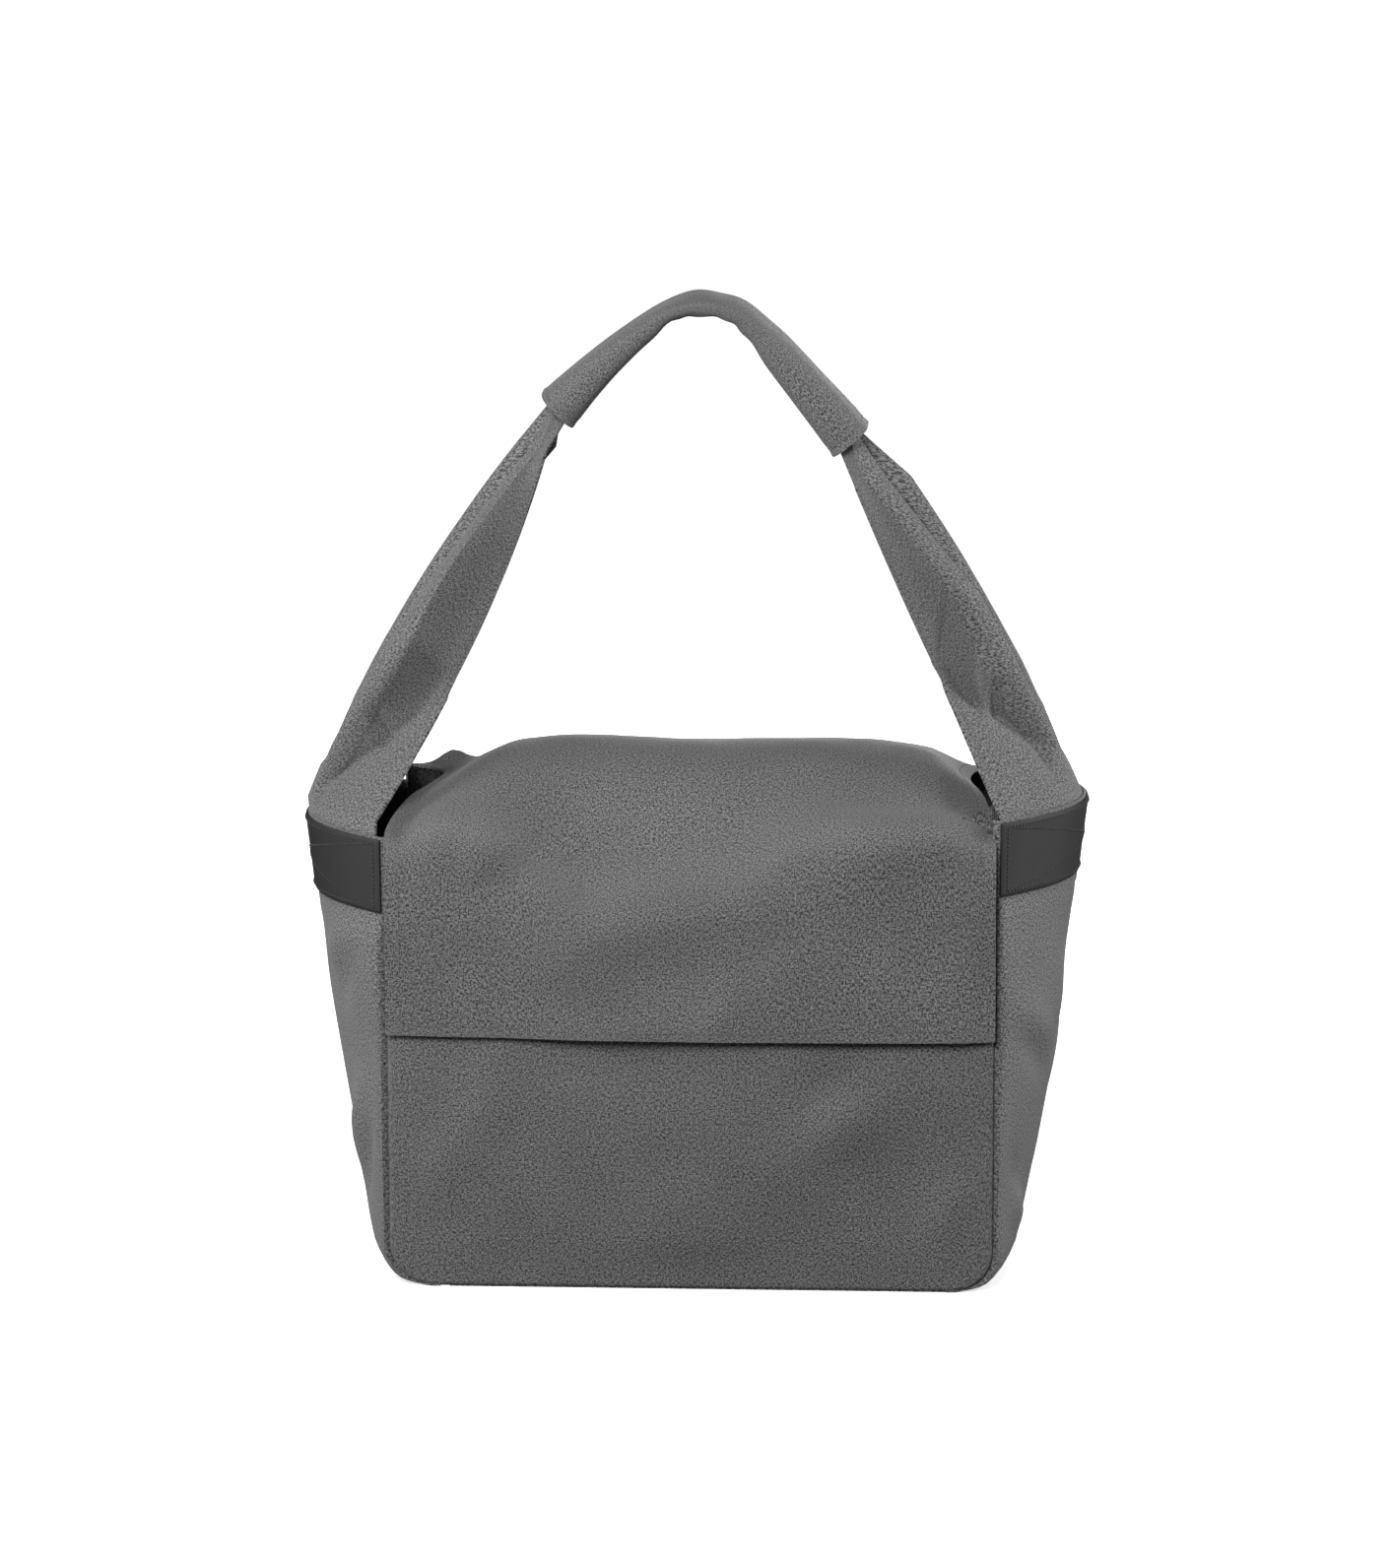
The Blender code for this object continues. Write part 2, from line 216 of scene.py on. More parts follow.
def new_finish(name, base, roughness, **sockets):
    """A Principled material, its tree, its shader and its output wired, with constants on the shader."""
    made = bpy.data.materials.new(name)
    made.use_nodes = True
    tree = made.node_tree
    shader = tree.nodes["Principled BSDF"]
    shader.inputs["Base Color"].default_value = (*base, 1)
    shader.inputs["Roughness"].default_value = roughness
    for socket, value in sockets.items():
        shader.inputs[socket.replace("_", " ")].default_value = value
    return made, tree, shader


def shade_of(colour, factor):
    return (*[channel * factor for channel in colour], 1)


def woven(name, colour, thread, contrast, roughness, bump):
    """Plain-weave cloth from mixed light and dark yarn: short flecks along both threads, soft dull face.

    The yarn is about half a millimetre, too fine to show, so the flecks are drawn half as wide again.
    """
    made, tree, shader = new_finish(name, colour, roughness, Sheen_Weight=0.1, Sheen_Roughness=0.5,
                                    Specular_IOR_Level=0.3)
    place = add(tree, "ShaderNodeUVMap", uv_map="cut")
    fine, long = 1 / thread, 1 / (thread * 2.4)
    weft_map = add(tree, "ShaderNodeMapping", [("Vector", place, "UV")], Scale=(long, fine, 1))
    warp_map = add(tree, "ShaderNodeMapping", [("Vector", place, "UV")], Scale=(fine, long, 1))
    weft = add(tree, "ShaderNodeTexNoise", [("Vector", weft_map, "Vector")], Scale=1.0, Detail=1.0,
               Roughness=0.7)
    warp = add(tree, "ShaderNodeTexNoise", [("Vector", warp_map, "Vector")], Scale=1.0, Detail=1.0,
               Roughness=0.7)
    both = add(tree, "ShaderNodeMath", [(0, weft, "Fac"), (1, warp, "Fac")], operation="ADD")
    halved = add(tree, "ShaderNodeMath", [(0, both, "Value")], operation="MULTIPLY")
    halved.inputs[1].default_value = 0.5
    cloud_map = add(tree, "ShaderNodeMapping", [("Vector", place, "UV")], Scale=(22, 22, 22))
    cloud = add(tree, "ShaderNodeTexNoise", [("Vector", cloud_map, "Vector")], Scale=1.0, Detail=3.0)
    flecks = add(tree, "ShaderNodeValToRGB", [("Fac", halved, "Value")])
    ramp = flecks.color_ramp
    ramp.elements[0].position, ramp.elements[1].position = 0.41, 0.60
    ramp.elements[0].color = shade_of(colour, 1 - contrast)
    ramp.elements[1].color = shade_of(colour, 1 + contrast)
    washed = add(tree, "ShaderNodeValToRGB", [("Fac", cloud, "Fac")])
    washed.color_ramp.elements[0].position, washed.color_ramp.elements[1].position = 0.3, 0.7
    washed.color_ramp.elements[0].color = (0.9, 0.9, 0.9, 1)
    washed.color_ramp.elements[1].color = (1, 1, 1, 1)
    mixed = add(tree, "ShaderNodeMix", data_type="RGBA", blend_type="MULTIPLY")
    mixed.inputs[0].default_value = 1.0
    tree.links.new(flecks.outputs["Color"], mixed.inputs[6])
    tree.links.new(washed.outputs["Color"], mixed.inputs[7])
    tree.links.new(mixed.outputs[2], shader.inputs["Base Color"])
    relief = add(tree, "ShaderNodeBump", [("Height", halved, "Value")], Strength=bump, Distance=0.4 * MM)
    tree.links.new(relief.outputs["Normal"], shader.inputs["Normal"])
    return made


def tanned(name, colour):
    """Chrome-tanned bridle leather, plated smooth: fine pebble grain under a satin top coat."""
    made, tree, shader = new_finish(name, colour, 0.6, Specular_IOR_Level=0.2)
    place = add(tree, "ShaderNodeUVMap", uv_map="cut")
    grain_map = add(tree, "ShaderNodeMapping", [("Vector", place, "UV")], Scale=(1, 1, 1))
    grain = add(tree, "ShaderNodeTexVoronoi", [("Vector", grain_map, "Vector")], Scale=1 / (1.1 * MM))
    haze = add(tree, "ShaderNodeTexNoise", [("Vector", grain_map, "Vector")], Scale=60.0, Detail=4.0)
    tone = add(tree, "ShaderNodeValToRGB", [("Fac", haze, "Fac")])
    tone.color_ramp.elements[0].color = shade_of(colour, 0.85)
    tone.color_ramp.elements[1].color = shade_of(colour, 1.25)
    tree.links.new(tone.outputs["Color"], shader.inputs["Base Color"])
    rough = add(tree, "ShaderNodeMapRange", [("Value", haze, "Fac")])
    rough.inputs["To Min"].default_value = 0.54
    rough.inputs["To Max"].default_value = 0.68
    tree.links.new(rough.outputs["Result"], shader.inputs["Roughness"])
    relief = add(tree, "ShaderNodeBump", [("Height", grain, "Distance")], Strength=0.25, Distance=0.15 * MM)
    tree.links.new(relief.outputs["Normal"], shader.inputs["Normal"])
    return made


def twisted(name, colour):
    """Polyester sewing thread: two plies twisted together, slightly bright, with painted highlight on the plies'
    crowns and painted shade in the grooves between them.
    """
    made, tree, shader = new_finish(name, colour, 0.6, Sheen_Weight=0.1)
    place = add(tree, "ShaderNodeTexCoord")
    painted_ply_shading = add(tree, "ShaderNodeTexWave", [("Vector", place, "Object")], Scale=500.0, Distortion=1.0)
    # the wave bands lighten and darken the thread's colour: painted highlight on the ply crowns, painted shade in
    # the grooves
    tone = add(tree, "ShaderNodeValToRGB", [("Fac", painted_ply_shading, "Fac")])
    tone.color_ramp.elements[0].color = shade_of(colour, 0.75)
    tone.color_ramp.elements[1].color = shade_of(colour, 1.2)
    tree.links.new(tone.outputs["Color"], shader.inputs["Base Color"])
    return made


def painted_floor(name, colour):
    """Matt white studio floor paint with a faint roller texture, lit through from below away from the bag."""
    made, tree, shader = new_finish(name, colour, 0.85, Emission_Color=(1, 1, 1, 1))
    place = add(tree, "ShaderNodeTexCoord")
    away = add(tree, "ShaderNodeVectorMath", [(0, place, "Object")], operation="LENGTH")
    glow = add(tree, "ShaderNodeMapRange", [("Value", away, "Value")])
    for socket, value in (("From Min", 0.2), ("From Max", 1.2), ("To Min", 0.5), ("To Max", 1.0)):
        glow.inputs[socket].default_value = value
    tree.links.new(glow.outputs["Result"], shader.inputs["Emission Strength"])
    roller = add(tree, "ShaderNodeTexNoise", [("Vector", place, "Object")], Scale=40.0)
    relief = add(tree, "ShaderNodeBump", [("Height", roller, "Fac")], Strength=0.05, Distance=0.5 * MM)
    tree.links.new(relief.outputs["Normal"], shader.inputs["Normal"])
    return made


def pressed_board(name, colour):
    """Grey fibre board, calendered: flat, dull, with fine fibre specks."""
    made, tree, shader = new_finish(name, colour, 0.8)
    place = add(tree, "ShaderNodeTexCoord")
    fibre = add(tree, "ShaderNodeTexNoise", [("Vector", place, "Object")], Scale=700.0, Detail=3.0)
    tone = add(tree, "ShaderNodeValToRGB", [("Fac", fibre, "Fac")])
    tone.color_ramp.elements[0].color = shade_of(colour, 0.8)
    tone.color_ramp.elements[1].color = shade_of(colour, 1.2)
    tree.links.new(tone.outputs["Color"], shader.inputs["Base Color"])
    return made


def finish(name):
    """The material of that name, made on first use."""
    found = bpy.data.materials.get(name)
    if found:
        return found
    if name == "heathered canvas":
        return woven(name, colours().canvas, 0.75 * MM, 0.85, 0.8, 0.02)
    if name == "lining twill":
        return woven(name, colours().lining, 0.7 * MM, 0.2, 0.75, 0.2)
    if name == "plated leather":
        return tanned(name, colours().leather)
    if name == "grey sewing thread":
        return twisted(name, [c * 0.72 for c in colours().canvas])
    if name == "black sewing thread":
        return twisted(name, [c * 0.15 for c in colours().leather])
    if name == "fibre board":
        return pressed_board(name, linear("#5a5650"))
    return painted_floor(name, colours().floor)


# ---------------------------------------------------------------- making pieces

SMOOTH_ANGLE = math.radians(50)


def pick(obj):
    bpy.ops.object.select_all(action="DESELECT")
    obj.select_set(True)
    bpy.context.view_layer.objects.active = obj


def settled(obj, material):
    """Moves a finished mesh to the bag's middle, smooths it and gives it its material."""
    obj.data.transform(Matrix.Translation((0, MIDDLE_Y, 0)))
    obj.data.materials.append(finish(material))
    pick(obj)
    bpy.ops.object.shade_smooth_by_angle(angle=SMOOTH_ANGLE)
    return obj


def apply_all(obj):
    pick(obj)
    for modifier in list(obj.modifiers):
        bpy.ops.object.modifier_apply(modifier=modifier.name)


def cloth(name, surface, across, along, thickness, material, outwards, chart=None, loops=False):
    """A piece of cloth over stations of its cut: surface gives a point, chart the place in the cut.

    outwards is a point that its good face looks away from. loops closes the cloth across.
    """
    rows, columns = len(along), len(across)
    points = [surface(a, b) for b in along for a in across]
    charted = [chart(a, b) if chart else (a, b) for b in along for a in across]
    spans = columns if loops else columns - 1
    faces = [(i * columns + j, i * columns + (j + 1) % columns,
              (i + 1) * columns + (j + 1) % columns, (i + 1) * columns + j)
             for i in range(rows - 1) for j in range(spans)]
    centre = Vector(outwards)
    facing = 0.0
    for face in faces[::7]:
        a, b, c, d = (points[k] for k in face)
        facing += (c - a).cross(d - b).dot((a + c) / 2 - centre)
    if facing < 0:
        faces = [face[::-1] for face in faces]
    mesh = bpy.data.meshes.new(name)
    mesh.from_pydata(points, [], faces)
    layer = mesh.uv_layers.new(name="cut")
    for loop in mesh.loops:
        layer.data[loop.index].uv = charted[loop.vertex_index]
    made = bpy.data.objects.new(name, mesh)
    bpy.context.collection.objects.link(made)
    wall = made.modifiers.new("wall", "SOLIDIFY")
    wall.thickness = thickness
    wall.offset = -1
    apply_all(made)
    return settled(made, material)


def normal_at(surface, a, b, step=0.4 * MM):
    across = surface(a + step, b) - surface(a - step, b)
    along = surface(a, b + step) - surface(a, b - step)
    return across.cross(along).normalized()


def raised(surface, height, sign):
    """The surface moved along its normal by a height."""
    return lambda a, b: surface(a, b) + normal_at(surface, a, b) * (height * sign)


STITCH_SIDES = 6


def stitched(name, surface, routes, sign, pitch, thread, material):
    """Rows of stitches on a surface: each route is a list of places in the cut, and each stitch a short
    spindle that dips into the cloth at both ends."""
    shape = bmesh.new()
    for route in routes:
        lengths = [0.0]
        spots = [surface(*spot) for spot in route]
        for first, second in zip(spots, spots[1:]):
            lengths.append(lengths[-1] + (second - first).length)
        count = max(int(lengths[-1] / pitch), 1)
        leg = 0
        for k in range(count):
            want = (k + 0.5) * lengths[-1] / count
            while lengths[leg + 1] < want:
                leg += 1
            t = (want - lengths[leg]) / (lengths[leg + 1] - lengths[leg])
            a, b = (route[leg][i] + (route[leg + 1][i] - route[leg][i]) * t for i in (0, 1))
            out = normal_at(surface, a, b) * sign
            way = (spots[leg + 1] - spots[leg]).normalized()
            side = way.cross(out).normalized()
            add_spindle(shape, surface(a, b), way * (pitch * 0.4), side * thread / 2, out * thread / 2)
    mesh = bpy.data.meshes.new(name)
    shape.to_mesh(mesh)
    shape.free()
    made = bpy.data.objects.new(name, mesh)
    bpy.context.collection.objects.link(made)
    return settled(made, material)


def add_spindle(shape, centre, reach, side, up):
    rings = []
    for place, size, lift in ((-0.8, 0.7, -0.1), (0, 1.0, 0.35), (0.8, 0.7, -0.1)):
        middle = centre + reach * place + up * lift
        ring = []
        for k in range(STITCH_SIDES):
            angle = 2 * math.pi * k / STITCH_SIDES
            ring.append(shape.verts.new(middle + (side * math.cos(angle) + up * math.sin(angle)) * size))
        rings.append(ring)
    tips = [shape.verts.new(centre + reach * way - up * 0.6) for way in (-1, 1)]
    for first, second in zip(rings, rings[1:]):
        for k in range(STITCH_SIDES):
            after = (k + 1) % STITCH_SIDES
            shape.faces.new((first[k], first[after], second[after], second[k]))
    for k in range(STITCH_SIDES):
        after = (k + 1) % STITCH_SIDES
        shape.faces.new((tips[0], rings[0][after], rings[0][k]))
        shape.faces.new((tips[1], rings[-1][k], rings[-1][after]))


# ---------------------------------------------------------------- the bag's shape

def half_depth(z):
    size = sizes()
    return size.base_depth + (size.mouth_depth - size.base_depth) * z / size.height


def rim(x):
    """Height of the mouth's edge, which is a little higher on the right."""
    size = sizes()
    return size.height - 0.2 * MM + size.tilt * clamp(x / size.half_width, -1, 1)


def corner_radius(x):
    return sizes().corner if x < 0 else sizes().right_corner


def seam_roll(distance):
    """How far cloth turns in beside a turned seam."""
    return 4.5 * MM * (1 - clamp(distance / (2.6 * MM))) ** 2


def edge_distance(x, z):
    """Distance from a panel's sewn edge."""
    size = sizes()
    corner = corner_radius(x)
    inset = size.half_width - corner
    if abs(x) > inset and z < corner:
        return max(corner - math.hypot(abs(x) - inset, z - corner), 0)
    return min(size.half_width - abs(x), z)


FRONT_FOLDS = [
    # start, end, width and height in metres, on the panel seen from the front
    ((0.070, 0.085), (0.135, 0.150), 0.022, 0.0045),
    ((0.060, 0.120), (0.120, 0.160), 0.020, -0.0030),
    ((0.100, 0.060), (0.180, 0.100), 0.030, -0.0025),
    ((-0.135, 0.100), (-0.130, 0.170), 0.016, 0.0022),
    ((-0.100, 0.160), (0.030, 0.150), 0.020, -0.0030),
    ((0.165, 0.035), (0.180, 0.080), 0.014, 0.0022),
    ((-0.180, 0.050), (-0.150, 0.110), 0.018, 0.0020),
    ((-0.060, 0.040), (0.060, 0.050), 0.040, 0.0020),
]
REAR_FOLDS = [
    ((-0.120, 0.080), (-0.040, 0.160), 0.026, 0.0035),
    ((0.060, 0.200), (0.150, 0.120), 0.024, 0.0032),
    ((-0.020, 0.050), (0.100, 0.070), 0.030, -0.0025),
    ((-0.160, 0.220), (-0.060, 0.260), 0.022, -0.0028),
]


# How far a panel swells in its middle
BELLY = 7 * MM
# The flap's section at each place across that has been asked for
ROOM = {}


def flap_room(x, z):
    """How far forward the front panel may stand under the flap, so that its top slumps with the flap."""
    key = round(x, 4)
    if key not in ROOM:
        ROOM[key] = [flap_outline(x, place / 4) for place in range(12, 45)]
    outline = ROOM[key]
    for upper, lower in zip(outline, outline[1:]):
        if upper.y >= z > lower.y:
            share = (upper.y - z) / (upper.y - lower.y)
            return -(upper.x + (lower.x - upper.x) * share) - 4.5 * MM
    return 1.0 if z < outline[-1].y else -outline[0].x


def panel_surface(side, folds):
    """A flat panel, leaning out with height, with soft folds and its edges turned in at the seams."""

    def surface(x, t):
        size = sizes()
        corner = corner_radius(x)
        inset = size.half_width - corner
        low = 0.0
        if abs(x) > inset:
            reach = min(abs(x) - inset, corner)
            low = corner - math.sqrt(corner ** 2 - reach ** 2)
        top = rim(x)
        if side > 0:
            top = size.height + 1 * MM
        z = low + (top - low) * t
        away = edge_distance(x, z)
        calm = clamp(away / (30 * MM)) * ease(z, 0, 40 * MM)
        relief = creases(x, z, folds)
        relief += unrest(x, side, z, 0.09, 0.0016) + unrest(x, side, z, 0.03, 0.0004, 3)
        belly = BELLY * math.sin(math.pi * clamp(z / size.height)) * math.cos(x / size.half_width * math.pi / 2)
        out = half_depth(z) + size.canvas + relief * calm + belly - seam_roll(away)
        if side < 0:
            out = min(out, flap_room(x, z))
        return Vector((x, side * out, z))

    def chart(x, t):
        return x, t * sizes().height

    return surface, chart


GUSSET_FOLDS = {
    "left": [
        ((-0.75, 0.250), (-0.40, 0.205), 0.013, 0.0050),
        ((-0.75, 0.225), (-0.45, 0.185), 0.010, -0.0030),
        ((-0.72, 0.135), (-0.40, 0.070), 0.012, 0.0055),
        ((-0.80, 0.110), (-0.55, 0.055), 0.009, -0.0040),
        ((-0.10, 0.240), (-0.50, 0.170), 0.018, -0.0020),
        ((0.20, 0.220), (0.60, 0.150), 0.020, 0.0040),
        ((-0.40, 0.110), (-0.10, 0.060), 0.014, -0.0025),
    ],
    "right": [
        ((-0.90, 0.200), (-0.35, 0.155), 0.012, 0.0055),
        ((-0.80, 0.175), (-0.30, 0.135), 0.010, -0.0040),
        ((-0.70, 0.065), (-0.30, 0.030), 0.012, 0.0045),
        ((-0.80, 0.095), (-0.50, 0.060), 0.010, -0.0030),
        ((-0.30, 0.240), (0.10, 0.200), 0.020, -0.0025),
        ((0.10, 0.120), (0.50, 0.200), 0.020, 0.0040),
    ],
}


# Half the gusset's cut width, which turns the folds' places into metres
GUSSET_SPAN = 0.1


def gusset_surface(side, folds=()):
    """The gusset: v from -1 at the front seam to 1 at the rear seam, u in metres down from the rim."""

    def surface(v, u):
        size = sizes()
        top, corner = rim(side * size.half_width), corner_radius(side)
        straight = top - corner
        turn = corner * math.pi / 2
        out_x, out_z = 1.0, 0.0
        if u < straight:
            x, z = size.half_width, top - u
        elif u < straight + turn:
            angle = (u - straight) / corner
            x = size.half_width - corner * (1 - math.cos(angle))
            z = corner * (1 - math.sin(angle))
            free = 1 - ease(angle, 0.7, 1.45)
            out_x, out_z = math.cos(angle) * free, -math.sin(angle) * free
        else:
            x, z, out_x = size.half_width - corner - (u - straight - turn), 0.0, 0.0
        depth = half_depth(z)
        away = (1 - abs(v)) * depth
        stand = size.bulge * clamp(z / size.height, 0, 1.2) ** 0.65 * (1 - v * v)
        stand -= (3.5 if side > 0 else 1.5) * MM * ease(z, 0.2, 0.29) * (1 - v * v)
        stand += 3.5 * MM * (1 - ease(z, 20 * MM, 70 * MM)) * (1 - v ** 4)
        # beside the seam the cloth puffs out, sideways and to the front or rear
        puff = 1 - ease(z, top - 70 * MM, top - 52 * MM)
        stand += 3.5 * MM * (1 - math.exp(-away / (3 * MM))) * math.exp(-away / (25 * MM)) * puff
        forward = 4.2 * MM * (1 - math.exp(-away / (2 * MM))) * math.exp(-away / (14 * MM)) * puff
        calm = clamp(away / (12 * MM)) * ease(z, 5 * MM, 50 * MM) * (1 - ease(z, top - 75 * MM, top - 55 * MM))
        relief = creases(v * GUSSET_SPAN, z, in_metres(folds, GUSSET_SPAN))
        relief += unrest(x * side, v * 0.09, z, 0.06, 0.0030, 7)
        out = stand + relief * calm * ease(z, 0, 20 * MM) - 2.5 * MM * (1 - clamp(away / (2.6 * MM))) ** 2
        y = math.copysign(abs(v) * (depth + 0.8 * MM) + (forward - seam_roll(away)) * ease(z, 0, 8 * MM), v)
        return Vector((side * (x + out * out_x), y, z + out * out_z))

    def chart(v, u):
        return v * 0.11, u

    return surface, chart


# ---------------------------------------------------------------- operators

def heading(turn, rise):
    """The direction at an azimuth, from the front towards the right, and an elevation in degrees."""
    turn, rise = math.radians(turn), math.radians(rise)
    return Vector((math.sin(turn) * math.cos(rise), -math.cos(turn) * math.cos(rise), math.sin(rise)))


def white_room(scene):
    """A white surround that lights the bag only a little."""
    world = bpy.data.worlds.new("white_room")
    world.use_nodes = True
    tree = world.node_tree
    seen = add(tree, "ShaderNodeLightPath")
    strength = add(tree, "ShaderNodeMapRange", [("Value", seen, "Is Camera Ray")])
    strength.inputs["To Min"].default_value = 0.10
    strength.inputs["To Max"].default_value = 1.05
    background = tree.nodes["Background"]
    background.inputs["Color"].default_value = (1, 1, 1, 1)
    tree.links.new(strength.outputs["Result"], background.inputs["Strength"])
    scene.world = world
    scene.view_settings.view_transform = "Standard"


CAMERA_DISTANCE = 6.0
CAMERA_SENSOR, CAMERA_LENS = 36, 211


class StageOperator(bpy.types.Operator):
    """White studio floor, soft side lights and the camera"""
    bl_idname = "mailbag.stage"
    bl_label = "Studio"

    def execute(self, context):
        bpy.ops.object.select_all(action="DESELECT")
        bpy.ops.mesh.primitive_plane_add(size=3.6, location=(0, 0, 0))
        floor = context.active_object
        floor.name = "studio_floor"
        floor.data.materials.append(finish("studio floor paint"))
        floor.visible_diffuse = floor.visible_glossy = False
        white_room(context.scene)
        target = Vector((0, 0, 0.26))
        lights = (
            # name, azimuth and elevation in degrees, distance, width, height and power
            ("key_softbox", -12, 34, 2.6, 1.3, 1.0, 92),
            ("left_softbox", -80, 8, 1.8, 0.8, 1.5, 30),
            ("right_softbox", 92, 8, 1.9, 0.8, 1.5, 46),
            ("rear_softbox", 172, 6, 2.2, 1.2, 0.8, 24),
        )
        for name, turn, rise, distance, width, height, power in lights:
            lamp = bpy.data.lights.new(name, "AREA")
            lamp.shape = "RECTANGLE"
            lamp.size, lamp.size_y = width, height
            lamp.energy = power
            holder = bpy.data.objects.new(name, lamp)
            context.collection.objects.link(holder)
            holder.location = target + heading(turn, rise) * distance
            holder.rotation_euler = (-heading(turn, rise)).to_track_quat("-Z", "Y").to_euler()
        aim = Vector((3 * MM, BAG[0].y + 18 * MM, 0.342))
        way = heading(2.8, 12.4)
        lens = bpy.data.cameras.new("camera")
        lens.sensor_fit = "VERTICAL"
        lens.sensor_height = CAMERA_SENSOR
        lens.lens = CAMERA_LENS
        camera = bpy.data.objects.new("camera", lens)
        context.collection.objects.link(camera)
        camera.location = aim + way * CAMERA_DISTANCE
        camera.rotation_euler = (-way).to_track_quat("-Z", "Y").to_euler()
        context.scene.camera = camera
        return {"FINISHED"}


class BodyOperator(bpy.types.Operator):
    """Front and rear panels, side gussets and the base, in canvas"""
    bl_idname = "mailbag.body"
    bl_label = "Canvas body"

    def execute(self, context):
        size = sizes()
        steps = round(2 * size.half_width / (size.detail * MM))
        across = edged(-size.half_width, size.half_width, steps)
        down = edged(0, size.height, round(size.height / (size.detail * MM)))
        shares = [z / size.height for z in down]
        for name, side, folds in (("front", -1, FRONT_FOLDS), ("rear", 1, REAR_FOLDS)):
            surface, chart = panel_surface(side, folds)
            made = cloth(f"{name}_panel_cloth", surface, across, shares, size.canvas, "heathered canvas",
                         (0, 0, 0.15), chart)
            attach(made, "bag")
            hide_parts(f"{name}_panel")
        for name, side in SIDES.items():
            surface, chart = gusset_surface(side, GUSSET_FOLDS[name])
            top = rim(side * size.half_width)
            length = top + corner_radius(side) * (math.pi / 2 - 1) + 4 * MM
            seams = [v / half_depth(0.15) for v in edged(0, 2 * half_depth(0.15), 40)]
            across_v = [v - 1 for v in seams]
            along = edged(0, length, 72)
            made = cloth(f"{name}_gusset_cloth", surface, across_v, along, size.canvas, "heathered canvas",
                         (0, 0, 0.15), chart)
            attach(made, "bag")
            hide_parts(f"{name}_gusset")
        low, high = FLOOR
        right = size.half_width - size.right_corner - 4 * MM
        made = cloth("base_cloth", lambda x, y: Vector((x, y, 0.0)), spread(low.x, right, 40),
                     spread(-size.base_depth, size.base_depth, 14), size.canvas, "heathered canvas",
                     (0, 0, 0.15))
        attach(made, "bag")
        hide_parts("base_gusset")
        frame["nodes"]["base_board"].data.materials.clear()
        frame["nodes"]["base_board"].data.materials.append(finish("fibre board"))
        return {"FINISHED"}


class LiningOperator(bpy.types.Operator):
    """Dark linings inside the bag and the canvas facings round the mouth"""
    bl_idname = "mailbag.lining"
    bl_label = "Lining"

    def execute(self, context):
        size = sizes()
        drop = 28 * MM
        for name, side in (("front", -1), ("rear", 1)):
            panel, chart = panel_surface(side, ())

            def inside(x, t, panel=panel, side=side):
                p = panel(x * 0.985, t)
                slack = unrest(x, 2 * side, p.z, 0.05, 2.0 * MM, 11) + 5 * MM
                return Vector((p.x, p.y - side * (size.canvas + slack), p.z))

            top = 1 - drop / size.height
            made = cloth(f"{name}_lining_cloth", inside, spread(-size.half_width, size.half_width, 60),
                         spread(0.012, top, 48), size.lining, "lining twill", (0, side * 2, 0.15), chart)
            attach(made, "bag")
            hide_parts(f"{name}_lining")

            def turned(x, t, panel=panel, side=side):
                p = panel(x * 0.985, t)
                return Vector((p.x, p.y - side * (size.canvas + 0.5 * MM), p.z))

            made = cloth(f"{name}_facing_cloth", turned, spread(-size.half_width, size.half_width, 60),
                         spread(top, 0.998, 8), size.canvas, "heathered canvas", (0, side * 2, 0.15), chart)
            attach(made, "bag")
            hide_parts(f"{name}_facing")
        for name, side in SIDES.items():
            gusset, chart = gusset_surface(side)

            def backing(v, u, gusset=gusset):
                p = gusset(v * 0.97, u)
                slack = unrest(v * 4, side, u * 18, 1.0, 3.0 * MM, 5)
                slack += 4 * MM * math.sin(v * 17 + 30 * u) * bell(u, 0, 0.07) * bell(abs(v), 1, 0.6)
                return Vector((p.x - side * (6.5 * MM + slack), p.y * 0.965, p.z + 6 * MM * (p.z < 40 * MM)))

            top = rim(side * size.half_width)
            length = top + corner_radius(side) * (math.pi / 2 - 1)
            made = cloth(f"{name}_lining_cloth", backing, spread(-1, 1, 36), spread(7 * MM, length, 60),
                         size.lining, "lining twill", (side * 2, 0, 0.15), chart)
            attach(made, "bag")
            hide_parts(f"{name}_lining")
        low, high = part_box("base_lining")

        def floor_of(x, y):
            return Vector((x, y, high.z + unrest(x, y, 0, 0.05, 0.8 * MM, 2)))

        made = cloth("base_lining_cloth", floor_of, spread(low.x, high.x, 60),
                     spread(low.y - MIDDLE_Y, high.y - MIDDLE_Y, 26), size.lining, "lining twill", (0, 0, -1))
        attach(made, "bag")
        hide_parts("base_lining")
        return {"FINISHED"}


